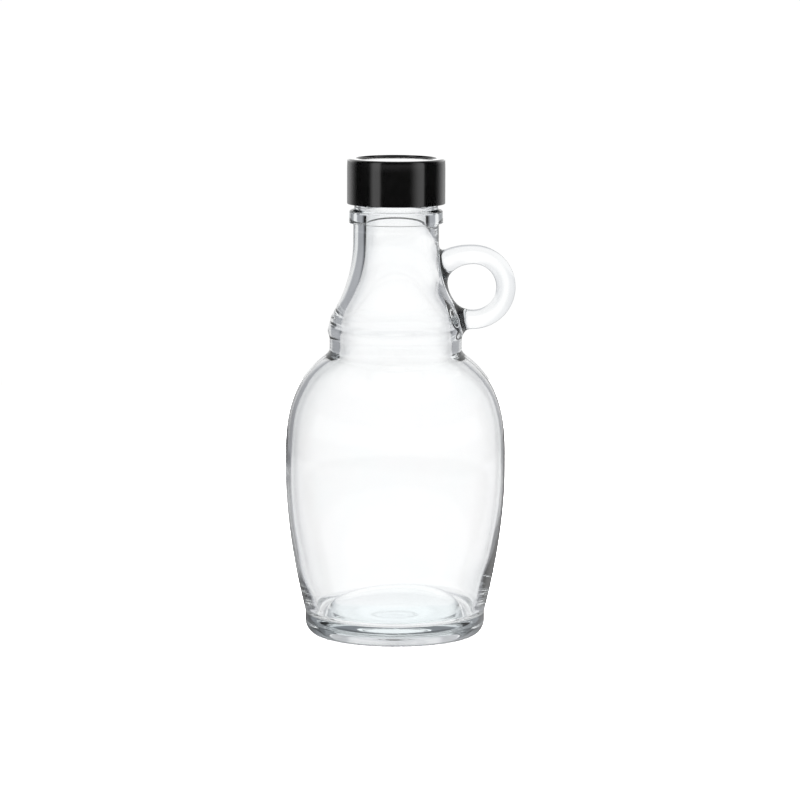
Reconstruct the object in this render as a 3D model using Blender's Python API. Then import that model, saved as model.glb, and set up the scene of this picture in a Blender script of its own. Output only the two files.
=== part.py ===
"""A small clear glass oil bottle, empty, with a solid glass finger ring on its neck and a black screw cap.

Metres, +Z up. The bottle stands on Z = 0 and the finger ring points along +X. The origin is the middle of the
whole object's box on the standing plane, so the bottle's own axis lies a little to -X of it.

Two pieces:
  bottle  one solid of glass: push-up base, egg-shaped body, waist, collar, flared neck, bead, threaded finish
          and the finger ring fused to the neck and collar
  cap     black moulded screw cap with a shallow recess in its top and one turn of thread inside
"""

import math

import bmesh
import bpy
from mathutils import Vector

MM = 0.001

# ---------------------------------------------------------------- driving dimensions, in millimetres
SEGMENTS = 36  # round the bottle's axis

# Standing ring and heel
PUSHUP_R = 23.8  # hollow under the base, radius at the standing plane
PUSHUP_H = 7.2  # and its height at the axis
STAND_R_IN, STAND_R_OUT = 24.5, 25.9  # flat ring that the bottle stands on
HEEL_R = 28.3
HEEL_ROUND_H = 3.9
HEEL_BAND_TOP_Z = 7.0
HEEL_LEDGE_R, HEEL_LEDGE_Z = 28.8, 8.0  # mould line between base plate and body

# Body
BELLY_R, BELLY_Z = 35.0, 52.5
LOWER_POWER = 1.83  # how the side curves from the belly in to the heel
SHOULDER_H = 41.9  # height of the shoulder's dome above the belly
SHOULDER_N, SHOULDER_M = 2.97, 2.31

# Waist, collar, flare, neck
WAIST_R = 20.9
COLLAR_R = 21.95
COLLAR_LOW_Z, COLLAR_HIGH_Z = 94.4, 97.2  # where the waist swells into the collar
NECK_R = 13.55
FLARE_TOP_Z = 125.0
FLARE_K = 0.0122  # the flare's radius grows with the square of the distance below FLARE_TOP_Z
NECK_TOP_Z = 130.6
BEAD_R, BEAD_Z, BEAD_HALF_H = 14.85, 133.1, 2.3

# Finish, under the cap
FINISH_R = 13.25
FINISH_TOP_Z = 148.6
LIP_ROUND = 0.7
BORE_R = 9.5
THREAD_PITCH = 4.0
THREAD_TURNS = 1.15
GLASS_THREAD_R = 14.05

# Inside of the glass
BELLY_WALL = 1.5
INNER_LOWER_POWER = 1.95
INNER_CORNER_Z = 8.6  # where the inner wall turns into the floor
INNER_CORNER_R = 26.0
TROUGH_R, TROUGH_Z = 22.8, 5.9  # lowest part of the floor, round the dome
DOME_FOOT_R, DOME_TOP_Z = 21.3, 12.6
INNER_SHOULDER_H = 39.7
INNER_WAIST_R = 18.0
INNER_FLARE_TOP_Z, INNER_FLARE_K = 126.0, 0.0136

# Finger ring
RING_X, RING_Z = 24.5, 110.7
RING_PATH_R = 10.3  # centre of the section, on the outer half
RING_PATH_LEFT = 11.2  # and towards the neck, where the hole reaches the wall
RING_RADIAL = 3.05  # half thickness of the section, seen from the side
RING_DEPTH = 3.35  # half thickness along Y
ROOT_SWELL = 1.15  # extra half thickness, outwards, where the ring runs into the glass
RING_STEPS, RING_SIDES = 32, 10

# Cap
CAP_R = 15.5
CAP_LOW_Z, CAP_TOP_Z = 137.0, 151.4
CAP_EDGE_ROUND = 0.85
CAP_RECESS_R, CAP_RECESS_DEPTH = 12.7, 0.8
CAP_BORE_R = 14.4
CAP_ROOF_Z = 148.95  # underside of the roof
CAP_THREAD_R = 13.6

REACH = RING_X + RING_PATH_R + RING_RADIAL  # outermost point of the finger ring from the bottle's axis
AXIS_X = -(REACH - BELLY_R) / 2

GLASS_COLOUR, GLASS_ROUGHNESS, GLASS_IOR = (0.95, 0.97, 0.97, 1.0), 0.02, 1.5
CAP_COLOUR, CAP_ROUGHNESS = (0.012, 0.012, 0.013, 1.0), 0.22


# ---------------------------------------------------------------- curves
def smooth_step(low, high, value):
    t = min(max((value - low) / (high - low), 0.0), 1.0)
    return t * t * (3 - 2 * t)


def smooth_max(a, b, width):
    """The larger of two numbers, with the corner between them rounded over this width."""
    h = max(width - abs(a - b), 0.0) / width
    return max(a, b) + h * h * width / 4


def smooth_min(a, b, width):
    return -smooth_max(-a, -b, width)


def spread(low, high, count):
    """Evenly spaced numbers from low to high, both included."""
    return [low + (high - low) * i / (count - 1) for i in range(count)]


def arc(r, z, half_r, half_z, start, end, count):
    """Points on an ellipse about (r, z), angles in degrees from +r towards +z."""
    return [
        (r + half_r * math.cos(math.radians(a)), z + half_z * math.sin(math.radians(a)))
        for a in spread(start, end, count)
    ]


def dome(radius, low, high, count):
    """A round-topped rise, from the axis out to its foot."""
    return [
        (radius * math.sin(a), low + (high - low) * math.cos(a))
        for a in spread(0.0, math.pi / 2, count)
    ]


def super_dome(z, height, radius):
    """Radius of the shoulder's dome at a height."""
    u = min((z - BELLY_Z) / height, 0.9999)
    return radius * (1 - u**SHOULDER_N) ** (1 / SHOULDER_M)


# ---------------------------------------------------------------- profiles of the glass, as (radius, height)
def collar_radius(z):
    flare = NECK_R + FLARE_K * max(FLARE_TOP_Z - z, 0.0) ** 2
    top = smooth_min(flare, COLLAR_R, 0.8)
    return WAIST_R + (top - WAIST_R) * smooth_step(COLLAR_LOW_Z, COLLAR_HIGH_Z, z)


def outer_radius(z):
    """Outside of the glass from the heel to the top of the neck."""
    if z <= BELLY_Z:
        t = (BELLY_Z - z) / (BELLY_Z - HEEL_LEDGE_Z)
        return BELLY_R - (BELLY_R - HEEL_LEDGE_R) * t**LOWER_POWER
    if z > FLARE_TOP_Z:
        return NECK_R
    above = NECK_R + FLARE_K * (FLARE_TOP_Z - z) ** 2 if z > 100.5 else collar_radius(z)
    if z > COLLAR_LOW_Z:
        return above
    return smooth_max(super_dome(z, SHOULDER_H, BELLY_R), collar_radius(z), 2.4)


def inner_radius(z):
    """Inside of the glass, which follows the outside less sharply."""
    belly = BELLY_R - BELLY_WALL
    if z <= BELLY_Z:
        t = (BELLY_Z - z) / (BELLY_Z - INNER_CORNER_Z)
        return belly - (belly - INNER_CORNER_R) * t**INNER_LOWER_POWER
    flare = BORE_R + INNER_FLARE_K * max(INNER_FLARE_TOP_Z - z, 0.0) ** 2
    above = smooth_min(flare, INNER_WAIST_R, 3.0)
    if z > BELLY_Z + INNER_SHOULDER_H - 0.5:
        return above
    return smooth_max(super_dome(z, INNER_SHOULDER_H, belly), above, 3.0)


def outer_profile():
    """From the axis under the base, round the outside, to the axis at the top of the finish."""
    points = dome(PUSHUP_R, 0.35, PUSHUP_H, 5)
    points += [(STAND_R_IN, 0.0)]
    points += arc(STAND_R_OUT, HEEL_ROUND_H, HEEL_R - STAND_R_OUT, HEEL_ROUND_H, -90, 0, 5)
    points += [(HEEL_R, HEEL_BAND_TOP_Z)]
    points += [(outer_radius(z), z) for z in spread(HEEL_LEDGE_Z, BELLY_Z, 7)]
    points += [(outer_radius(z), z) for z in (60.0, 67.0, 73.0, 77.5, 81.2, 84.5)]
    points += [(outer_radius(z), z) for z in spread(87.2, 91.4, 4)]
    points += [(outer_radius(z), z) for z in (93.2, 94.9, 96.0, 97.0, 98.3, 99.6)]
    points += [(outer_radius(z), z) for z in spread(102.4, FLARE_TOP_Z, 6)]
    points += [(NECK_R, NECK_TOP_Z)]
    points += [
        (r, z)
        for r, z in arc(NECK_R - 0.6, BEAD_Z, BEAD_R - NECK_R + 0.6, BEAD_HALF_H, -62, 62, 6)
    ]
    points += [(FINISH_R, BEAD_Z + BEAD_HALF_H + 0.25)]
    points += arc(
        FINISH_R - LIP_ROUND, FINISH_TOP_Z - LIP_ROUND, LIP_ROUND, LIP_ROUND, 0, 90, 3
    )
    return points + [(0.0, FINISH_TOP_Z)]


def cavity_profile():
    """The air inside, from the axis on the floor's dome up to the axis above the lip."""
    points = dome(DOME_FOOT_R, TROUGH_Z + 0.35, DOME_TOP_Z, 6)
    points += [(TROUGH_R, TROUGH_Z)]
    points += arc(
        TROUGH_R + 0.4,
        INNER_CORNER_Z,
        INNER_CORNER_R - TROUGH_R - 0.4,
        INNER_CORNER_Z - TROUGH_Z,
        -70,
        0,
        4,
    )
    points += [(inner_radius(z), z) for z in spread(INNER_CORNER_Z, BELLY_Z, 6)[1:]]
    points += [(inner_radius(z), z) for z in (61.0, 68.5, 75.0, 80.0, 84.0)]
    points += [(inner_radius(z), z) for z in (87.0, 89.5, 92.0, 97.0)]
    points += [(inner_radius(z), z) for z in spread(101.5, INNER_FLARE_TOP_Z, 5)]
    points += [(BORE_R, FINISH_TOP_Z - 0.5), (BORE_R + 0.5, FINISH_TOP_Z + 0.01)]
    return points + [(BORE_R + 0.5, FINISH_TOP_Z + 3.0), (0.0, FINISH_TOP_Z + 3.0)]


def cap_profile():
    """From the axis in the top's recess, down the outside, up the inside, to the axis under the roof."""
    floor_z = CAP_TOP_Z - CAP_RECESS_DEPTH
    points = [(0.0, floor_z), (CAP_RECESS_R - 0.35, floor_z), (CAP_RECESS_R, floor_z + 0.3)]
    points += [(CAP_RECESS_R + 0.05, CAP_TOP_Z - 0.2), (CAP_RECESS_R + 0.3, CAP_TOP_Z)]
    points += arc(
        CAP_R - CAP_EDGE_ROUND,
        CAP_TOP_Z - CAP_EDGE_ROUND,
        CAP_EDGE_ROUND,
        CAP_EDGE_ROUND,
        90,
        0,
        5,
    )
    points += [(CAP_R, CAP_LOW_Z + 0.35), (CAP_R - 0.35, CAP_LOW_Z)]
    points += [(CAP_BORE_R + 0.3, CAP_LOW_Z), (CAP_BORE_R, CAP_LOW_Z + 0.4)]
    return points + [(CAP_BORE_R, CAP_ROOF_Z), (0.0, CAP_ROOF_Z)]


# ---------------------------------------------------------------- solids
def new_object(name, bm, material=None):
    bmesh.ops.recalc_face_normals(bm, faces=bm.faces)
    mesh = bpy.data.meshes.new(name)
    bm.to_mesh(mesh)
    bm.free()
    mesh.shade_smooth()
    mesh.set_sharp_from_angle(angle=math.radians(32))
    obj = bpy.data.objects.new(name, mesh)
    bpy.context.scene.collection.objects.link(obj)
    obj.location.x = AXIS_X * MM
    if material:
        mesh.materials.append(material)
    return obj


def helper(obj):
    """A shape that only adds to or cuts from another one."""
    obj.hide_render = True
    obj.display_type = "WIRE"
    return obj


def turned(name, profile, material=None):
    """The solid that a closed (radius, height) outline sweeps round the Z axis."""
    bm = bmesh.new()
    verts = [bm.verts.new((r * MM, 0.0, z * MM)) for r, z in profile]
    edges = [bm.edges.new(pair) for pair in zip(verts, verts[1:])]
    bmesh.ops.spin(
        bm,
        geom=verts + edges,
        cent=(0, 0, 0),
        axis=(0, 0, 1),
        angle=2 * math.pi,
        steps=SEGMENTS,
        use_merge=True,
    )
    bmesh.ops.remove_doubles(bm, verts=bm.verts, dist=1e-6)
    return new_object(name, bm, material)


def bridged(name, rings, closed, material=None):
    """A tube through rings of points, closed on itself or capped at both ends."""
    bm = bmesh.new()
    loops = [[bm.verts.new(p) for p in ring] for ring in rings]
    pairs = list(zip(loops, loops[1:]))
    if closed:
        pairs.append((loops[-1], loops[0]))
    else:
        bm.faces.new(loops[0])
        bm.faces.new(loops[-1])
    for a, b in pairs:
        for i in range(len(a)):
            j = (i + 1) % len(a)
            bm.faces.new((a[i], a[j], b[j], b[i]))
    return new_object(name, bm, material)


def finger_ring(name):
    """The glass ring: an oval section on an egg-shaped path, swollen outwards where it runs into the neck."""
    rings = []
    for i in range(RING_STEPS):
        angle = 2 * math.pi * i / RING_STEPS
        c, s = math.cos(angle), math.sin(angle)
        across = RING_PATH_R if c > 0 else RING_PATH_LEFT
        centre = Vector((RING_X + across * c, 0.0, RING_Z + RING_PATH_R * s))
        outward = Vector((c / across, 0.0, s / RING_PATH_R)).normalized()
        lean = abs(math.degrees(math.atan2(s, -c)))  # 0 at the neck, 180 at the outermost point
        swell = ROOT_SWELL * math.exp(-(((lean - 50) / 24) ** 2))
        radial, depth = RING_RADIAL + swell / 2, RING_DEPTH + swell / 2
        centre += outward * (swell / 2)
        ring = []
        for k in range(RING_SIDES):
            a = 2 * math.pi * k / RING_SIDES
            ring.append(
                (
                    centre
                    + outward * (radial * math.cos(a))
                    + Vector((0.0, depth * math.sin(a), 0.0))
                )
                * MM
            )
        rings.append(ring)
    return helper(bridged(name, rings, closed=True))


def thread(name, root_r, crest_r, start_z, root_w, crest_w):
    """One run of right-hand thread, with both ends faded into the wall. It starts 0.4 mm inside the wall."""
    steps = round(THREAD_TURNS * SEGMENTS)
    inside = root_r + (0.4 if crest_r < root_r else -0.4)
    rings = []
    for i in range(steps + 1):
        angle = 2 * math.pi * i / SEGMENTS + math.pi / SEGMENTS
        z = start_z + THREAD_PITCH * i / SEGMENTS
        rise = min(1.0, (min(i, steps - i) + 0.6) / 4)
        crest = root_r + (crest_r - root_r) * rise
        section = [
            (inside, z - root_w / 2),
            (root_r, z - root_w / 2),
            (crest, z - crest_w / 2),
            (crest, z + crest_w / 2),
            (root_r, z + root_w / 2),
            (inside, z + root_w / 2),
        ]
        rings.append(
            [
                Vector((r * math.cos(angle), r * math.sin(angle), h)) * MM
                for r, h in section
            ]
        )
    return helper(bridged(name, rings, closed=False))


def boolean(target, other, operation):
    modifier = target.modifiers.new(operation.title() + " " + other.name, "BOOLEAN")
    modifier.operation = operation
    modifier.solver = "EXACT"
    modifier.object = other


def principled(name, colour, roughness, transmission=0.0, ior=1.5):
    material = bpy.data.materials.new(name)
    material.use_nodes = True
    shader = material.node_tree.nodes["Principled BSDF"]
    shader.inputs["Base Color"].default_value = colour
    shader.inputs["Roughness"].default_value = roughness
    shader.inputs["Metallic"].default_value = 0.0
    shader.inputs["IOR"].default_value = ior
    shader.inputs["Transmission Weight"].default_value = transmission
    material.diffuse_color = colour
    return material


def build():
    for obj in list(bpy.data.objects):
        bpy.data.objects.remove(obj, do_unlink=True)

    glass = principled("clear_glass", GLASS_COLOUR, GLASS_ROUGHNESS, 1.0, GLASS_IOR)
    black = principled("black_plastic", CAP_COLOUR, CAP_ROUGHNESS)

    bottle = turned("bottle", outer_profile(), glass)
    boolean(bottle, finger_ring("ring_shape"), "UNION")
    boolean(
        bottle,
        thread("glass_thread_shape", FINISH_R, GLASS_THREAD_R, 140.2, 2.3, 1.0),
        "UNION",
    )
    boolean(bottle, helper(turned("cavity_shape", cavity_profile())), "DIFFERENCE")

    cap = turned("cap", cap_profile(), black)
    boolean(
        cap,
        thread("cap_thread_shape", CAP_BORE_R, CAP_THREAD_R, 138.3, 1.6, 0.6),
        "UNION",
    )

    whole = bpy.data.objects.new("oil_bottle", None)
    whole.empty_display_size = 0.02
    bpy.context.scene.collection.objects.link(whole)
    for obj in list(bpy.context.scene.collection.objects):
        if obj is not whole:
            obj.parent = whole


build()
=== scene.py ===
"""The looks of a small, empty, clear glass oil bottle with a finger ring and a black screw cap.

Lengths in this file are millimetres until a mesh is written, in metres, with +Z up. The bottle's axis stands a
little to -X of the origin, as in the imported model, and the finger ring points along +X.
"""

import math

import bmesh
import bpy
import numpy as np
from mathutils import Matrix, Vector


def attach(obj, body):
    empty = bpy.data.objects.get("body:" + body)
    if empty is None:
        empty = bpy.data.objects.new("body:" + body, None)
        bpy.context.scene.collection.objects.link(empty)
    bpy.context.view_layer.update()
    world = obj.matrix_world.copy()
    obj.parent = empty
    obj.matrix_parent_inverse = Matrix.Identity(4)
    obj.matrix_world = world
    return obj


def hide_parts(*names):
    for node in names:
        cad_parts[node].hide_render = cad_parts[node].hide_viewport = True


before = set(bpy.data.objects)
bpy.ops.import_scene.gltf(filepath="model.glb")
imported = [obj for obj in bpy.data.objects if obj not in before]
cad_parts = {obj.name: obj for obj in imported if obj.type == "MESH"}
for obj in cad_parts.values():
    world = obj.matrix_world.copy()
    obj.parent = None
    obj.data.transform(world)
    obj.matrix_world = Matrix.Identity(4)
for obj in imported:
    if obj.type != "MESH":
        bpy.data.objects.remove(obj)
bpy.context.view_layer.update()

MM = 0.001

# ---------------------------------------------------------------- sizes of the glass, in millimetres
PUSHUP_R, PUSHUP_H = 23.8, 7.2
STAND_R_OUT, HEEL_R, HEEL_ROUND_H = 25.5, 28.65, 3.9
HEEL_LEDGE_R, HEEL_LEDGE_Z = 28.95, 8.0
BELLY_R, BELLY_Z = 35.0, 52.5
LOWER_POWER = 1.83
SHOULDER_H, SHOULDER_N, SHOULDER_M = 41.9, 2.97, 2.31
WAIST_R, COLLAR_R = 20.9, 21.95
COLLAR_LOW_Z, COLLAR_HIGH_Z = 94.1, 97.5
NECK_R, FLARE_TOP_Z, FLARE_K = 13.55, 125.0, 0.0122
NECK_TOP_Z = 130.6
BEAD_R, BEAD_Z, BEAD_HALF_H = 14.85, 133.1, 2.3
FINISH_R, FINISH_TOP_Z, LIP_ROUND, BORE_R = 13.25, 148.6, 0.7, 9.5
THREAD_PITCH, THREAD_TURNS, THREAD_START_Z, THREAD_RISE = 4.0, 1.15, 140.2, 0.8

BELLY_WALL = 1.35
INNER_LOWER_POWER = 1.95
INNER_CORNER_Z, INNER_CORNER_R = 8.6, 26.0
TROUGH_R, TROUGH_Z = 22.8, 5.9
DOME_FOOT_R, DOME_TOP_Z = 21.3, 12.6
INNER_SHOULDER_H, INNER_WAIST_R = 39.7, 18.0
INNER_FLARE_TOP_Z, INNER_FLARE_K = 126.0, 0.0136
DIMPLE_R, DIMPLE_LOW_Z, DIMPLE_TOP_Z, DIMPLE_WIDTH = 12.9, 119.5, 131.5, 36.0

RING_X, RING_Z = 24.5, 110.7
RING_PATH_R, RING_PATH_LEFT = 10.3, 11.9
RING_RADIAL, RING_DEPTH, ROOT_SWELL = 3.05, 3.35, 1.0
ROOT_FILLET = 2.6

CAP_R, CAP_LOW_Z, CAP_TOP_Z = 15.5, 137.0, 151.4
CAP_EDGE_ROUND, CAP_RECESS_R, CAP_RECESS_DEPTH = 0.85, 12.7, 0.6
CAP_BORE_R, CAP_ROOF_Z, CAP_THREAD_R = 14.4, 148.95, 13.6

AXIS_X = -(RING_X + RING_PATH_R + RING_RADIAL - BELLY_R) / 2

AROUND = 240  # columns round the glass
KNURL_COUNT, KNURL_COLUMNS = 146, 8  # scallops on the standing ring, and columns for each
KNURL_DEPTH = 0.44
CELL = 0.42  # grid for the part of the neck that carries the finger ring
RING_ZONE = (92.2, 129.4)  # heights between which that grid is used


# ---------------------------------------------------------------- curves
def smooth_step(low, high, value):
    t = np.clip((value - low) / (high - low), 0.0, 1.0)
    return t * t * (3 - 2 * t)


def smooth_max(a, b, width):
    h = np.maximum(width - np.abs(a - b), 0.0) / width
    return np.maximum(a, b) + h * h * width / 4


def smooth_min(a, b, width):
    return -smooth_max(-a, -b, width)


def super_dome(z, height, radius):
    u = np.clip((z - BELLY_Z) / height, 0.0, 0.9999)
    return radius * (1 - u**SHOULDER_N) ** (1 / SHOULDER_M)


def outer_radius(z):
    """Outside of the glass from the heel's ledge to the top of the neck."""
    z = np.asarray(z, float)
    t = np.clip((BELLY_Z - z) / (BELLY_Z - HEEL_LEDGE_Z), 0.0, None)
    low = BELLY_R - (BELLY_R - HEEL_LEDGE_R) * t**LOWER_POWER
    flare = NECK_R + FLARE_K * np.maximum(FLARE_TOP_Z - z, 0.0) ** 2
    top = smooth_min(flare, COLLAR_R, 3.4)
    collar = WAIST_R + (top - WAIST_R) * smooth_step(COLLAR_LOW_Z, COLLAR_HIGH_Z, z)
    above = np.where(z > 100.5, flare, collar)
    shoulder = smooth_max(super_dome(z, SHOULDER_H, BELLY_R), above, 2.4)
    high = np.where(z > COLLAR_LOW_Z, above, shoulder)
    return np.where(z <= BELLY_Z, low, high)


def inner_radius(z):
    """Inside of the glass, which follows the outside less sharply."""
    z = np.asarray(z, float)
    belly = BELLY_R - BELLY_WALL
    t = np.clip((BELLY_Z - z) / (BELLY_Z - INNER_CORNER_Z), 0.0, None)
    low = belly - (belly - INNER_CORNER_R) * t**INNER_LOWER_POWER
    flare = BORE_R + INNER_FLARE_K * np.maximum(INNER_FLARE_TOP_Z - z, 0.0) ** 2
    above = smooth_min(flare, INNER_WAIST_R, 3.0)
    shoulder = smooth_max(super_dome(z, INNER_SHOULDER_H, belly), above, 3.0)
    high = np.where(z > BELLY_Z + INNER_SHOULDER_H - 0.5, above, shoulder)
    return np.where(z <= BELLY_Z, low, high)


def blurred(curve, low, high, width):
    """A table of a radius against height, smoothed so that its bends have no sudden change."""
    step = 0.05
    z = np.arange(low - 4 * width, high + 4 * width, step)
    reach = int(3 * width / step)
    bell = np.exp(-0.5 * (np.arange(-reach, reach + 1) * step / width) ** 2)
    r = np.convolve(np.pad(curve(z), reach, mode="edge"), bell / bell.sum(), mode="valid")
    return z, r


BODY_Z, BODY_OUT = blurred(outer_radius, 0.0, 140.0, 0.35)
HOLLOW_Z, BODY_IN = blurred(inner_radius, 0.0, 140.0, 0.8)


def out_r(z):
    return np.interp(z, BODY_Z, BODY_OUT)


def in_r(z):
    return np.interp(z, HOLLOW_Z, BODY_IN)


def arc(r, z, half_r, half_z, start, end, count):
    a = np.radians(np.linspace(start, end, count))
    return list(zip(r + half_r * np.cos(a), z + half_z * np.sin(a)))


# ---------------------------------------------------------------- a skin made of loops round the axis
class Skin:
    def __init__(self):
        self.points, self.faces = [], []
        self.count = 0

    def add(self, points):
        first = self.count
        self.points.append(np.asarray(points, float).reshape(-1, 3))
        self.count += len(self.points[-1])
        return list(range(first, self.count))

    def circle(self, r, z, columns=AROUND):
        """A loop at radius r, height z; each may be one number or one for every column."""
        a = np.arange(columns) * 2 * math.pi / columns
        r, z = np.broadcast_to(r, columns), np.broadcast_to(z, columns)
        return self.add(np.stack([r * np.cos(a), r * np.sin(a), z], axis=1))

    def band(self, a, b):
        n = len(a)
        for i in range(n):
            j = (i + 1) % n
            self.faces.append((a[i], a[j], b[j], b[i]))

    def zip_band(self, a, b):
        """Triangles between two loops of different counts, both running anticlockwise."""
        co = np.concatenate(self.points)

        def angles(loop):
            t = np.arctan2(co[loop, 1], co[loop, 0]) % (2 * math.pi)
            start = int(np.argmin(t))
            loop = loop[start:] + loop[:start]
            t = np.roll(t, -start)
            return loop + [loop[0]], np.append(t, t[0] + 2 * math.pi)

        (a, ta), (b, tb) = angles(list(a)), angles(list(b))
        i = j = 0
        while i < len(a) - 1 or j < len(b) - 1:
            step_a = j == len(b) - 1 or (i < len(a) - 1 and ta[i + 1] < tb[j + 1])
            if step_a:
                self.faces.append((a[i], a[i + 1], b[j]))
                i += 1
            else:
                self.faces.append((a[i], b[j + 1], b[j]))
                j += 1

    def fan(self, loop, z):
        (tip,) = self.add([(0.0, 0.0, z)])
        for i in range(len(loop)):
            self.faces.append((loop[i], loop[(i + 1) % len(loop)], tip))

    def object(self, name, known=None):
        """The finished mesh. known gives a first index and exact normals for some of its points."""
        co = np.concatenate(self.points)
        co[:, 0] += AXIS_X
        mesh = bpy.data.meshes.new(name)
        mesh.from_pydata((co * MM).tolist(), [], self.faces)
        bm = bmesh.new()
        bm.from_mesh(mesh)
        bmesh.ops.recalc_face_normals(bm, faces=bm.faces)
        bm.to_mesh(mesh)
        bm.free()
        mesh.shade_smooth()
        if known:
            normals = np.empty(len(mesh.vertices) * 3)
            mesh.vertices.foreach_get("normal", normals)
            normals = normals.reshape(-1, 3)
            first, exact = known
            normals[first : first + len(exact)] = exact
            mesh.normals_split_custom_set_from_vertices(normals.tolist())
        obj = bpy.data.objects.new(name, mesh)
        bpy.context.scene.collection.objects.link(obj)
        return obj


# ---------------------------------------------------------------- the neck and finger ring as one rounded form
def ring_distance(p):
    """Signed distance to the finger ring: an oval section on an egg-shaped path, swollen at its roots."""
    u, w, y = p[..., 0] - RING_X, p[..., 2] - RING_Z, p[..., 1]
    across = np.where(u > 0, RING_PATH_R, RING_PATH_LEFT)
    angle = np.arctan2(w / RING_PATH_R, u / across)
    c, s = np.cos(angle), np.sin(angle)
    nu, nw = c / across, s / RING_PATH_R
    length = np.hypot(nu, nw)
    nu, nw = nu / length, nw / length
    lean = np.abs(np.degrees(np.arctan2(s, -c)))
    swell = ROOT_SWELL * np.exp(-(((lean - 50) / 24) ** 2))
    d = (u - across * c) * nu + (w - RING_PATH_R * s) * nw - swell / 2
    a, b = RING_RADIAL + swell / 2, RING_DEPTH + swell / 2
    g = np.maximum(np.sqrt((d / a) ** 2 + (y / b) ** 2), 1e-3)
    return (g - 1) * g / np.maximum(np.sqrt(d**2 / a**4 + y**2 / b**4), 1e-6)


def neck_distance(p):
    z = p[..., 2]
    slope = (out_r(z + 0.05) - out_r(z - 0.05)) / 0.1
    return (np.hypot(p[..., 0], p[..., 1]) - out_r(z)) / np.sqrt(1 + slope**2)


def joined_distance(p):
    return smooth_min(neck_distance(p), ring_distance(p), ROOT_FILLET)


def joined_slope(p):
    slope = np.zeros_like(p)
    for k in range(3):
        nudge = np.zeros(3)
        nudge[k] = 0.01
        slope[:, k] = (joined_distance(p + nudge) - joined_distance(p - nudge)) / 0.02
    return slope


def surface_net(field, low, cell):
    """Points and quads on the zero level of a gridded field, one point in each cell that it crosses."""
    shape = np.array(field.shape) - 1
    total, hits = np.zeros((*shape, 3)), np.zeros(shape)
    crossings = []
    for axis in range(3):
        a = np.moveaxis(np.moveaxis(field, axis, 0)[:-1], 0, axis)
        b = np.moveaxis(np.moveaxis(field, axis, 0)[1:], 0, axis)
        at = np.argwhere((a < 0) != (b < 0))
        va, vb = a[tuple(at.T)], b[tuple(at.T)]
        place = at.astype(float)
        place[:, axis] += va / (va - vb)
        others = [k for k in range(3) if k != axis]
        around = []
        for du, dv in ((0, 0), (-1, 0), (-1, -1), (0, -1)):
            cells = at.copy()
            cells[:, others[0]] += du
            cells[:, others[1]] += dv
            fine = ((cells >= 0) & (cells < shape)).all(axis=1)
            np.add.at(total, tuple(cells[fine].T), place[fine])
            np.add.at(hits, tuple(cells[fine].T), 1)
            around.append((cells, fine))
        crossings.append(around)
    used = np.argwhere(hits > 0)
    index = np.full(shape, -1)
    index[tuple(used.T)] = np.arange(len(used))
    points = total[tuple(used.T)] / hits[tuple(used.T)][:, None] * cell + low
    quads = []
    for around in crossings:
        whole = np.all([fine for _, fine in around], axis=0)
        quads.append(np.stack([index[tuple(c[whole].T)] for c, _ in around], axis=1))
    return points, np.concatenate(quads), used[:, 2]


def ring_zone():
    """The glass between two heights, with the finger ring grown out of it on rounded roots."""
    low = np.array([-(WAIST_R + 2.5), -(WAIST_R + 2.5), RING_ZONE[0] - CELL / 2])
    high = np.array([RING_X + RING_PATH_R + RING_RADIAL + 1.5, WAIST_R + 2.5, RING_ZONE[1]])
    counts = np.ceil((high - low) / CELL).astype(int) + 1
    axes = [low[k] + CELL * np.arange(counts[k]) for k in range(3)]
    grid = np.stack(np.meshgrid(*axes, indexing="ij"), axis=-1)
    points, quads, layer = surface_net(joined_distance(grid), low, CELL)
    used = np.unique(quads)
    renumber = np.full(len(points), -1)
    renumber[used] = np.arange(len(used))
    points, quads, layer = points[used], renumber[quads], layer[used]
    ends = (layer == layer.min()) | (layer == layer.max())
    neighbours = np.concatenate([quads[:, [0, 1]], quads[:, [1, 2]], quads[:, [2, 3]], quads[:, [3, 0]]])
    neighbours = np.unique(np.sort(neighbours, axis=1), axis=0)
    for turn in range(9):
        if turn < 5:
            total, hits = np.zeros_like(points), np.zeros(len(points))
            for a, b in ((0, 1), (1, 0)):
                np.add.at(total, neighbours[:, a], points[neighbours[:, b]])
                np.add.at(hits, neighbours[:, a], 1)
            eased = points + 0.5 * (total / hits[:, None] - points)
            points = np.where(ends[:, None], points, eased)
        value = joined_distance(points)
        slope = joined_slope(points)
        step = slope * (value / np.maximum((slope**2).sum(axis=1), 0.05))[:, None]
        points = np.where(ends[:, None], points, points - np.clip(step, -0.3, 0.3))
    for end in (layer.min(), layer.max()):
        at = layer == end
        height = RING_ZONE[0] if end == layer.min() else float(np.median(points[at, 2]))
        radius = out_r(height) / np.hypot(points[at, 0], points[at, 1])
        points[at, 0] *= radius
        points[at, 1] *= radius
        points[at, 2] = height
    loops = []
    for end in (layer.min(), layer.max()):
        at = np.flatnonzero(layer == end)
        order = np.argsort(np.arctan2(points[at, 1], points[at, 0]) % (2 * math.pi))
        loops.append(at[order].tolist())
    slope = joined_slope(points)
    return points, quads, loops, slope / np.linalg.norm(slope, axis=1)[:, None]


# ---------------------------------------------------------------- the bottle
def seam(z):
    """The fine parting line of the mould, down both sides in the plane of the finger ring."""
    line = np.zeros(AROUND)
    line[0] = line[AROUND // 2] = 0.045
    return line * float(smooth_step(8.5, 12.0, z) * (1 - smooth_step(88.0, 91.0, z)))


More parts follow.
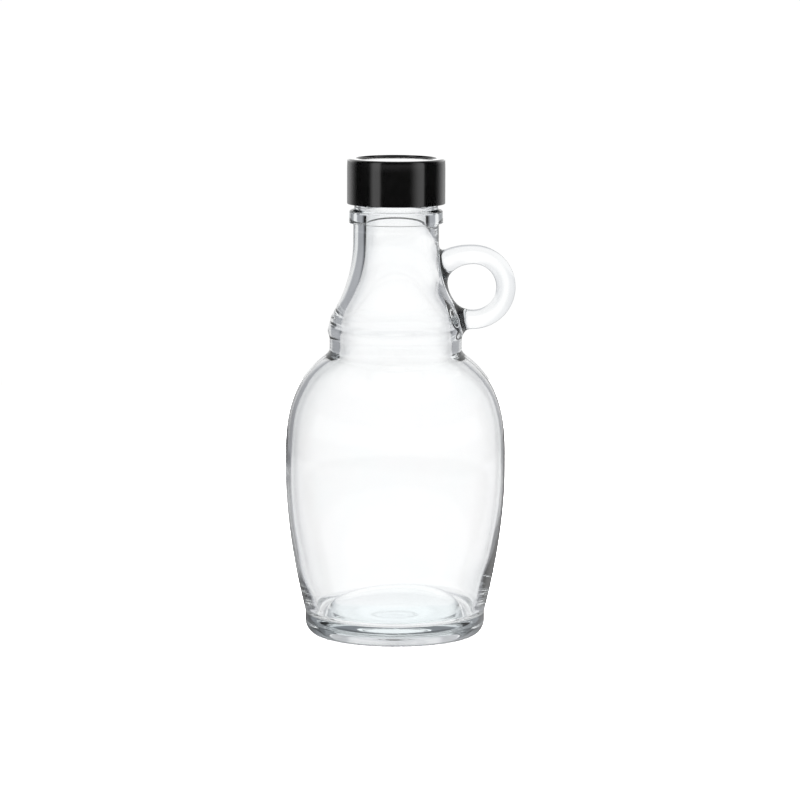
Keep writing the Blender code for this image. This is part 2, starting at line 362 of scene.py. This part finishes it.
def inner_waves(z):
    """Gentle unevenness of the blown inside."""
    a = np.arange(AROUND) * 2 * math.pi / AROUND
    waves = 0.5 * np.cos(2 * a + 0.6 + z / 31) + 0.32 * np.cos(3 * a - 1.1 - z / 17)
    waves += 0.2 * np.cos(5 * a + 2.0 + z / 12)
    size = 0.16 * smooth_step(14.0, 26.0, z) * (1 - smooth_step(118.0, 128.0, z))
    aside = 0.25 * smooth_step(14.0, 26.0, z) * (1 - smooth_step(76.0, 88.0, z))
    return waves * float(size) + np.cos(a) * float(aside)


def inner_dimple(z):
    """The hollow in the inside of the neck where the glass was drawn out into the finger ring."""
    a = (np.arange(AROUND) * 2 * math.pi / AROUND + math.pi) % (2 * math.pi) - math.pi
    wanted = BORE_R + (DIMPLE_R - BORE_R) * (1 - smooth_step(DIMPLE_LOW_Z, DIMPLE_TOP_Z, z))
    eased = float(smooth_step(DIMPLE_TOP_Z, DIMPLE_TOP_Z - 2.5, z)) if z > 100 else 0.0
    depth = float(smooth_max(in_r(z), wanted, 1.0) - in_r(z)) * eased
    return depth * np.exp(-((a / math.radians(DIMPLE_WIDTH)) ** 2))


def thread_rise(r, z, columns):
    """Height of the one-turn screw thread on the finish."""
    a = np.arange(columns) / columns
    rise = np.zeros(columns)
    for turn in (0, 1):
        along = a + turn
        centre = THREAD_START_Z + THREAD_PITCH * along
        ends = smooth_step(0.0, 0.1, along) * (1 - smooth_step(THREAD_TURNS - 0.1, THREAD_TURNS, along))
        rise = np.maximum(rise, ends * (1 - smooth_step(0.45, 1.15, np.abs(z - centre))))
    return r + THREAD_RISE * rise


def glass_bottle():
    skin = Skin()
    # under the base, from the middle of the push-up out to the standing ring
    angles = np.linspace(0, math.pi / 2, 26)[1:]
    rows = [(PUSHUP_R * math.sin(a), 0.35 + (PUSHUP_H - 0.35) * math.cos(a)) for a in angles]
    loop = skin.circle(*rows[0])
    skin.fan(loop, PUSHUP_H)
    for r, z in rows[1:]:
        new = skin.circle(r, z)
        skin.band(loop, new)
        loop = new
    # the scalloped standing ring and the turn of the heel
    columns = KNURL_COUNT * KNURL_COLUMNS
    wave = 0.5 - 0.5 * np.cos(np.arange(columns) * 2 * math.pi / KNURL_COLUMNS)
    rows = [(24.0, 0.22), (24.2, 0.1), (24.45, 0.02)]
    rows += [(r, 0.0) for r in np.linspace(24.65, 25.4, 5)]
    heel = arc(STAND_R_OUT, HEEL_ROUND_H, HEEL_R - STAND_R_OUT, HEEL_ROUND_H, -90, 0, 30)
    rows += heel[:13]
    for i, (r, z) in enumerate(rows):
        swing = smooth_step(23.9, 24.6, r) * (1 - smooth_step(26.0, 27.4, r))
        new = skin.circle(r, z + KNURL_DEPTH * swing * wave, columns)
        if i:
            skin.band(loop, new)
        else:
            skin.zip_band(loop, new)
        loop = new
    for i, (r, z) in enumerate(heel[13:]):
        new = skin.circle(r, z)
        if i:
            skin.band(loop, new)
        else:
            skin.zip_band(loop, new)
        loop = new
    # heel band, ledge, body, shoulder and waist
    heights = list(np.linspace(4.6, 6.7, 5))
    rows = [(HEEL_R, z) for z in heights]
    rows += [(HEEL_R + 0.02, 6.95), (HEEL_R + 0.08, 7.15), (HEEL_R + 0.2, 7.45), (HEEL_R + 0.28, 7.8)]
    rows += [(float(out_r(z)), z) for z in np.arange(8.3, 14.0, 0.6)]
    rows += [(float(out_r(z)), z) for z in np.arange(14.0, 78.0, 1.3)]
    rows += [(float(out_r(z)), z) for z in np.arange(78.0, 86.0, 0.7)]
    rows += [(float(out_r(z)), z) for z in np.arange(86.0, RING_ZONE[0] - 0.2, 0.35)]
    for r, z in rows:
        new = skin.circle(np.minimum(r + seam(z), BELLY_R - 0.005), z)
        skin.band(loop, new)
        loop = new
    # neck with the finger ring
    points, quads, (bottom, top), exact = ring_zone()
    first = skin.add(points)[0]
    skin.faces += [tuple(int(first + k) for k in q) for q in quads]
    skin.zip_band(loop, [first + k for k in bottom])
    loop = [first + k for k in top]
    # top of the neck, bead, threaded finish and lip
    z_top = float(points[top[0], 2])
    rows = [(NECK_R, z) for z in np.linspace(z_top + 0.3, NECK_TOP_Z + 0.1, 4)]
    rows += [(NECK_R + 0.02, NECK_TOP_Z + 0.22), (NECK_R + 0.07, NECK_TOP_Z + 0.29)]
    rows += [(NECK_R + 0.2, NECK_TOP_Z + 0.33), (NECK_R + 0.7, NECK_TOP_Z + 0.35)]
    rows += arc(BEAD_R - 0.3, NECK_TOP_Z + 0.68, 0.3, 0.32, -84, 0, 8)
    rows += arc(BEAD_R - 0.7, BEAD_Z + BEAD_HALF_H - 1.1, 0.62, 0.75, 0, 80, 8)
    rows += [(FINISH_R + 0.45, BEAD_Z + BEAD_HALF_H - 0.2), (FINISH_R + 0.12, BEAD_Z + BEAD_HALF_H - 0.02)]
    rows += [(FINISH_R, BEAD_Z + BEAD_HALF_H + 0.3)]
    rows += [(FINISH_R, z) for z in np.arange(136.2, FINISH_TOP_Z - LIP_ROUND - 0.1, 0.3)]
    for i, (r, z) in enumerate(rows):
        new = skin.circle(thread_rise(r, z, AROUND) if z > 138.5 else r, z)
        if i:
            skin.band(loop, new)
        else:
            skin.zip_band(loop, new)
        loop = new
    rows = arc(FINISH_R - LIP_ROUND, FINISH_TOP_Z - LIP_ROUND, LIP_ROUND, LIP_ROUND, 0, 90, 8)
    rows += [((FINISH_R + BORE_R) / 2, FINISH_TOP_Z)]
    rows += arc(BORE_R + 0.5, FINISH_TOP_Z - 0.5, -0.5, 0.5, 90, 0, 6)
    # inside: bore, neck, shoulder, body
    rows += [(BORE_R, z) for z in np.linspace(FINISH_TOP_Z - 1.0, 133.0, 10)]
    rows += [(BORE_R, z) for z in np.linspace(132.5, 129.6, 8)]
    rows += [(float(in_r(z)) + 0.06 * float(1 - smooth_step(127.6, 129.0, z)), z) for z in np.arange(129.2, 124.0, -0.2)]
    fade = [z for z in np.arange(123.5, 82.0, -0.6)]
    rows += [(float(in_r(z)) + 0.06 * float(smooth_step(112.0, 124.0, z)), z) for z in fade]
    rows += [(float(in_r(z)), z) for z in np.arange(82.0, INNER_CORNER_Z + 0.4, -1.1)]
    for r, z in rows:
        uneven = (inner_waves(z) if z < 128 else 0.0) + (inner_dimple(z) if z < DIMPLE_TOP_Z else 0.0)
        new = skin.circle(r + uneven, z)
        skin.band(loop, new)
        loop = new
    # inner corner, trough and dome of the floor
    corner = arc(TROUGH_R + 0.4, INNER_CORNER_Z, INNER_CORNER_R - TROUGH_R - 0.4, INNER_CORNER_Z - TROUGH_Z, 0, -90, 16)
    rows = corner[1:] + [(TROUGH_R, TROUGH_Z), (TROUGH_R - 0.5, TROUGH_Z + 0.06)]
    rows += [(TROUGH_R - 0.95, TROUGH_Z + 0.32)]
    for a in np.linspace(math.pi / 2 - 0.08, 0, 34)[:-1]:
        rows.append((DOME_FOOT_R * math.sin(a), TROUGH_Z + 0.35 + (DOME_TOP_Z - TROUGH_Z - 0.35) * math.cos(a)))
    for r, z in rows:
        new = skin.circle(r, z)
        skin.band(loop, new)
        loop = new
    skin.fan(loop, DOME_TOP_Z)
    return skin.object("glass_bottle", (first, exact))


# ---------------------------------------------------------------- the cap
def screw_cap():
    skin = Skin()
    floor_z = CAP_TOP_Z - CAP_RECESS_DEPTH
    rows = [(r, floor_z) for r in np.linspace(1.5, CAP_RECESS_R - 0.5, 9)]
    rows += arc(CAP_RECESS_R - 0.3, floor_z + 0.3, 0.3, 0.3, -90, 0, 7)
    rows += [(CAP_RECESS_R + 0.02, CAP_TOP_Z - 0.22)]
    rows += arc(CAP_RECESS_R + 0.24, CAP_TOP_Z - 0.2, -0.2, 0.2, 0, 90, 6)
    side = CAP_R - 0.09
    edge = arc(side - CAP_EDGE_ROUND, CAP_TOP_Z - CAP_EDGE_ROUND, CAP_EDGE_ROUND, CAP_EDGE_ROUND, 90, 4, 16)
    rows += [((CAP_RECESS_R + CAP_R) / 2 - 0.1, CAP_TOP_Z)] + edge
    rows += [(CAP_R - 0.008 * max(z - CAP_TOP_Z + 4.0, 0.0) ** 2, z) for z in np.linspace(CAP_TOP_Z - 1.2, CAP_LOW_Z + 0.6, 26)]
    rows += arc(CAP_R - 0.22, CAP_LOW_Z + 0.22, 0.22, 0.22, 0, -90, 6)
    rows += [(CAP_BORE_R + 0.35, CAP_LOW_Z), (CAP_BORE_R + 0.12, CAP_LOW_Z + 0.12)]
    loop = skin.circle(*rows[0])
    skin.fan(loop, floor_z)
    for r, z in rows[1:]:
        new = skin.circle(r, z)
        skin.band(loop, new)
        loop = new
    a = np.arange(AROUND) / AROUND
    for z in np.arange(CAP_LOW_Z + 0.4, CAP_ROOF_Z - 0.3, 0.2):
        rise = np.zeros(AROUND)
        for turn in (0, 1):
            along = a + turn
            centre = 138.3 + THREAD_PITCH * along
            ends = smooth_step(0.0, 0.1, along) * (1 - smooth_step(THREAD_TURNS - 0.1, THREAD_TURNS, along))
            rise = np.maximum(rise, ends * (1 - smooth_step(0.3, 0.8, np.abs(z - centre))))
        new = skin.circle(CAP_BORE_R - (CAP_BORE_R - CAP_THREAD_R) * rise, z)
        skin.band(loop, new)
        loop = new
    rows = arc(CAP_BORE_R - 0.3, CAP_ROOF_Z - 0.3, 0.3, 0.3, 0, 90, 5) + [(7.0, CAP_ROOF_Z)]
    for r, z in rows:
        new = skin.circle(r, z)
        skin.band(loop, new)
        loop = new
    skin.fan(loop, CAP_ROOF_Z)
    obj = skin.object("screw_cap")
    obj.data.set_sharp_from_angle(angle=math.radians(50))
    return obj


# ---------------------------------------------------------------- materials
class Tree:
    """Short calls for building a node tree."""

    def __init__(self, owner):
        owner.use_nodes = True
        self.tree = owner.node_tree
        self.tree.nodes.clear()

    def node(self, kind, inputs=None, **settings):
        made = self.tree.nodes.new(kind)
        for key, value in settings.items():
            setattr(made, key, value)
        for key, value in (inputs or {}).items():
            self.put(made.inputs[key], value)
        return made

    def put(self, socket, value):
        if isinstance(value, bpy.types.NodeSocket):
            self.tree.links.new(value, socket)
        else:
            socket.default_value = value

    def math(self, operation, *values, clamp=False):
        made = self.tree.nodes.new("ShaderNodeMath")
        made.operation = operation
        made.use_clamp = clamp
        for k, value in enumerate(values):
            self.put(made.inputs[k], value)
        return made.outputs[0]

    def ramp(self, value, from_low, from_high, to_low=0.0, to_high=1.0):
        made = self.tree.nodes.new("ShaderNodeMapRange")
        made.interpolation_type = "SMOOTHSTEP"
        for key, v in (
            ("Value", value),
            ("From Min", from_low),
            ("From Max", from_high),
            ("To Min", to_low),
            ("To Max", to_high),
        ):
            self.put(made.inputs[key], v)
        return made.outputs[0]


def glass_material():
    material = bpy.data.materials.new("clear_glass_look")
    t = Tree(material)
    place = t.node("ShaderNodeTexCoord").outputs["Object"]
    waves = t.node("ShaderNodeTexNoise", {"Vector": place, "Scale": 70.0, "Detail": 2.0, "Roughness": 0.45})
    stretched = t.node("ShaderNodeMapping", {"Vector": place, "Scale": (1.0, 1.0, 0.28)})
    flow = t.node("ShaderNodeTexNoise", {"Vector": stretched.outputs[0], "Scale": 210.0, "Detail": 2.0, "Roughness": 0.5})
    height = t.math("ADD", waves.outputs["Fac"], t.math("MULTIPLY", flow.outputs["Fac"], 0.3))
    bump = t.node("ShaderNodeBump", {"Strength": 1.0, "Distance": 0.00003, "Height": height})
    smears = t.node("ShaderNodeTexNoise", {"Vector": place, "Scale": 38.0, "Detail": 4.0, "Roughness": 0.6})
    shade = t.ramp(smears.outputs["Fac"], 0.4, 0.75, 1.0, 0.99)
    colour = t.node("ShaderNodeCombineColor", {"Red": shade, "Green": 1.0, "Blue": 1.0})
    shader = t.node(
        "ShaderNodeBsdfPrincipled",
        {
            "Base Color": colour.outputs[0],
            "Roughness": 0.0,
            "IOR": 1.5,
            "Transmission Weight": 1.0,
            "Normal": bump.outputs[0],
        },
    )
    depth = t.node("ShaderNodeVolumeAbsorption", {"Color": (0.5, 0.63, 0.66, 1.0), "Density": 8.0})
    out = t.node("ShaderNodeOutputMaterial")
    t.put(out.inputs["Surface"], shader.outputs[0])
    t.put(out.inputs["Volume"], depth.outputs[0])
    return material


def cap_material():
    material = bpy.data.materials.new("black_plastic_look")
    t = Tree(material)
    place = t.node("ShaderNodeTexCoord").outputs["Object"]
    grain = t.node("ShaderNodeTexNoise", {"Vector": place, "Scale": 2600.0, "Detail": 2.0, "Roughness": 0.6})
    sink = t.node("ShaderNodeTexNoise", {"Vector": place, "Scale": 130.0, "Detail": 1.0})
    height = t.math("ADD", t.math("MULTIPLY", grain.outputs["Fac"], 0.06), sink.outputs["Fac"])
    bump = t.node("ShaderNodeBump", {"Strength": 1.0, "Distance": 0.00003, "Height": height})
    handled = t.node("ShaderNodeTexNoise", {"Vector": place, "Scale": 160.0, "Detail": 5.0, "Roughness": 0.65})
    roughness = t.ramp(handled.outputs["Fac"], 0.3, 0.75, 0.09, 0.14)
    shade = t.ramp(handled.outputs["Fac"], 0.3, 0.8, 0.0004, 0.0008)
    colour = t.node("ShaderNodeCombineColor", {"Red": shade, "Green": shade, "Blue": t.math("MULTIPLY", shade, 1.05)})
    shader = t.node(
        "ShaderNodeBsdfPrincipled",
        {
            "Base Color": colour.outputs[0],
            "Roughness": roughness,
            "IOR": 1.5,
            "Normal": bump.outputs[0],
        },
    )
    out = t.node("ShaderNodeOutputMaterial")
    t.put(out.inputs["Surface"], shader.outputs[0])
    return material


def floor_material():
    material = bpy.data.materials.new("pale_floor_look")
    t = Tree(material)
    place = t.node("ShaderNodeTexCoord").outputs["Object"]
    mottle = t.node("ShaderNodeTexNoise", {"Vector": place, "Scale": 9.0, "Detail": 2.0})
    shade = t.ramp(mottle.outputs["Fac"], 0.2, 0.8, 0.9, 0.93)
    colour = t.node("ShaderNodeCombineColor", {"Red": shade, "Green": shade, "Blue": shade})
    shader = t.node("ShaderNodeBsdfDiffuse", {"Color": colour.outputs[0]})
    out = t.node("ShaderNodeOutputMaterial")
    t.put(out.inputs["Surface"], shader.outputs[0])
    return material


# ---------------------------------------------------------------- studio
def studio_world():
    """A white studio. Plain white straight on and through the glass; what is turned back inside the glass is darker."""
    world = bpy.data.worlds.new("studio")
    bpy.context.scene.world = world
    t = Tree(world)
    way = t.node("ShaderNodeTexCoord").outputs["Generated"]
    axes = t.node("ShaderNodeSeparateXYZ", {"Vector": way}).outputs
    ray = t.node("ShaderNodeLightPath").outputs
    # degrees round from +Y, positive towards +X, and degrees above the horizon
    turn = t.math("DEGREES", t.math("ARCTAN2", axes["X"], axes["Y"]))
    away = t.math("ABSOLUTE", turn)
    rise = t.math("DEGREES", t.math("ARCSINE", axes["Z"]))

    def mixed(a, b, share):
        return t.math("ADD", t.math("MULTIPLY", a, t.math("SUBTRACT", 1.0, share)), t.math("MULTIPLY", b, share))

    def bump_of(value, start, full, end, gone):
        return t.math("MULTIPLY", t.ramp(value, start, full), t.ramp(value, end, gone, 1.0, 0.0))

    # straight through the glass: white, a little darker where thick glass bends the view far aside
    clear = mixed(t.ramp(away, 3.0, 20.0, 1.08, 0.92), 0.84, t.ramp(away, 20.0, 45.0))
    clear = mixed(clear, 0.5, bump_of(away, 50.0, 61.0, 70.0, 80.0))
    clear = mixed(clear, 1.0, t.math("MAXIMUM", t.ramp(away, 76.0, 90.0), t.ramp(rise, -15.0, -21.0)))
    clear = mixed(clear, 0.6, t.ramp(t.math("ABSOLUTE", rise), 40.0, 54.0))

    # turned back once inside the glass: white behind, falling to dark at the sides, and dark below eye level
    level_on = t.ramp(away, 9.0, 21.0, 0.98, 0.4)
    upward = t.math("MULTIPLY", t.ramp(away, 10.0, 22.0, 1.08, 0.46), t.ramp(rise, 13.0, 22.0, 1.0, 0.7))
    high = mixed(level_on, upward, t.ramp(rise, -3.0, 3.0))
    high = t.math("ADD", high, t.ramp(away, 44.0, 63.0, 0.0, -0.42))
    high = t.math("ADD", high, t.ramp(away, 68.0, 85.0, 0.0, 0.22))
    high = mixed(high, 0.85, t.math("MULTIPLY", bump_of(rise, 0.5, 3.0, 14.0, 20.0), t.ramp(away, 72.0, 82.0)))
    high = mixed(high, t.ramp(rise, 44.0, 50.0, 0.4, 0.75), t.ramp(rise, 16.0, 24.0))
    low = t.ramp(away, 6.0, 14.0, 0.95, t.ramp(turn, -40.0, 40.0, 0.15, 0.3))
    low = mixed(low, 0.72, t.ramp(away, 27.0, 35.0))
    low = mixed(low, 1.0, t.ramp(rise, -32.0, -42.0))
    once = mixed(low, high, t.ramp(rise, -8.4, -7.2))
    # turned back again: white behind, black at the sides
    twice = mixed(t.ramp(away, 34.0, 56.0, 1.18, 0.05), 0.02, t.ramp(away, 96.0, 112.0))
    beside = t.math("MULTIPLY", t.ramp(rise, -8.0, -16.0), bump_of(away, 58.0, 68.0, 92.0, 104.0))
    twice = mixed(twice, 0.3, beside)
    twice = mixed(twice, 0.15, t.math("MULTIPLY", bump_of(rise, -8.0, -5.0, 6.0, 12.0), t.ramp(away, 74.0, 84.0)))
    twice = mixed(twice, t.ramp(away, 34.0, 60.0, 1.18, 0.95), t.ramp(rise, -5.5, -2.0))
    # where it never left the solid glass, as low in the base: a dark band at eye level, and black at the sides
    band = mixed(t.ramp(rise, -11.0, -6.0, 1.25, 0.16), 0.28, t.ramp(rise, 3.0, 7.0))
    band = mixed(band, 0.95, t.ramp(rise, 16.0, 24.0))
    aside = t.ramp(away, 70.0, 84.0, 0.3, 0.05)
    band = mixed(band, t.ramp(rise, 14.0, 30.0, aside, 0.7), t.ramp(away, 42.0, 56.0))
    twice = mixed(twice, band, t.math("LESS_THAN", ray["Transmission Depth"], 2.5))
    bent = mixed(once, twice, t.math("GREATER_THAN", ray["Glossy Depth"], 1.5))
    turned = t.math("GREATER_THAN", ray["Glossy Depth"], 0.5)
    through = mixed(clear, bent, turned)

    # mirrored by the smooth glass: soft, dimmer on the left
    rim = mixed(t.ramp(turn, -30.0, 30.0, 0.24, 0.4), 0.85, t.ramp(rise, -7.2, -6.0))
    glass = mixed(t.ramp(turn, -55.0, 55.0, 0.3, 0.8), rim, t.ramp(away, 36.0, 14.0))
    glass = mixed(glass, 0.7, t.ramp(away, 90.0, 150.0))
    # mirrored by the cap: white behind, a strip light on each side in front, dark between
    back = mixed(t.ramp(away, 12.0, 38.0, 0.55, 0.95), 1.9, t.ramp(rise, -2.0, 2.0))
    back = t.math("MULTIPLY", t.ramp(away, 42.0, 78.0, 1.0, 0.0), back)
    left = t.math("MULTIPLY", bump_of(turn, -146.5, -138.0, -127.0, -112.0), 1.7)
    right = t.math("MULTIPLY", bump_of(turn, 109.0, 113.0, 119.0, 151.0), 1.75)
    glow = t.math("MULTIPLY", bump_of(rise, -4.2, 0.5, 2.0, 7.0), t.ramp(away, 95.0, 140.0, 0.0, 0.4))
    boxes = t.math("MULTIPLY", t.math("ADD", left, right), bump_of(rise, -50.0, -40.0, 40.0, 55.0))
    cap = t.math("ADD", t.math("ADD", back, boxes), t.math("ADD", glow, 0.02))
    gloss = mixed(cap, glass, ray["Is Singular Ray"])

    level = t.math("MULTIPLY", ray["Is Camera Ray"], 1.02)
    level = t.math("ADD", level, t.math("MULTIPLY", ray["Is Diffuse Ray"], 7.0))
    turned_back = t.math("MULTIPLY", ray["Is Glossy Ray"], t.math("SUBTRACT", 1.0, ray["Is Transmission Ray"]))
    level = t.math("ADD", level, t.math("MULTIPLY", turned_back, gloss))
    level = t.math("ADD", level, t.math("MULTIPLY", ray["Is Transmission Ray"], through))
    shade = t.math("SUBTRACT", 1.06, through, clamp=True)
    cool = t.math("MULTIPLY", ray["Is Transmission Ray"], shade)
    tint = t.node("ShaderNodeMix", {"Factor": cool}, data_type="RGBA")
    t.put(tint.inputs["A"], (1.0, 1.0, 1.0, 1.0))
    t.put(tint.inputs["B"], (0.93, 0.97, 1.06, 1.0))
    back = t.node("ShaderNodeBackground", {"Color": tint.outputs["Result"], "Strength": level})
    out = t.node("ShaderNodeOutputWorld")
    t.put(out.inputs["Surface"], back.outputs[0])
    world.cycles.sampling_method = "NONE"


def round_floor(radius):
    bm = bmesh.new()
    bmesh.ops.create_circle(bm, cap_ends=True, segments=128, radius=radius)
    mesh = bpy.data.meshes.new("floor")
    bm.to_mesh(mesh)
    bm.free()
    obj = bpy.data.objects.new("floor", mesh)
    obj.location.z = -0.00002
    bpy.context.scene.collection.objects.link(obj)
    mesh.materials.append(floor_material())
    obj.visible_transmission = False
    obj.visible_glossy = False
    return obj


def studio_camera():
    data = bpy.data.cameras.new("camera")
    camera = bpy.data.objects.new("camera", data)
    bpy.context.scene.collection.objects.link(camera)
    data.sensor_fit = "HORIZONTAL"
    data.sensor_width = 36.0
    data.lens = 3700 / 800 * 36.0
    data.shift_y = -5 / 800
    data.clip_start, data.clip_end = 0.01, 50.0
    camera.location = (0.0, -1.164, 0.239)
    look = Vector((0.0, math.cos(math.radians(7.97)), -math.sin(math.radians(7.97))))
    turn = look.to_track_quat("-Z", "Y").to_matrix()
    roll = math.radians(0.2)
    spin = Vector((0, 0, 1))
    camera.rotation_mode = "QUATERNION"
    camera.rotation_quaternion = (turn @ Matrix.Rotation(roll, 3, spin)).to_quaternion()
    bpy.context.scene.camera = camera


bottle = glass_bottle()
bottle.data.materials.append(glass_material())
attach(bottle, "root")
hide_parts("bottle")

cap = screw_cap()
cap.data.materials.append(cap_material())
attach(cap, "root")
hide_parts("cap")

studio_world()
round_floor(0.6)
studio_camera()

scene = bpy.context.scene
scene.view_settings.view_transform = "Standard"
scene.view_settings.look = "None"
scene.cycles.max_bounces = 26
scene.cycles.transmission_bounces = 20
scene.cycles.glossy_bounces = 9
scene.cycles.diffuse_bounces = 3
scene.cycles.caustics_refractive = True
scene.cycles.caustics_reflective = True
scene.cycles.blur_glossy = 0.3
scene.cycles.sample_clamp_indirect = 6.0
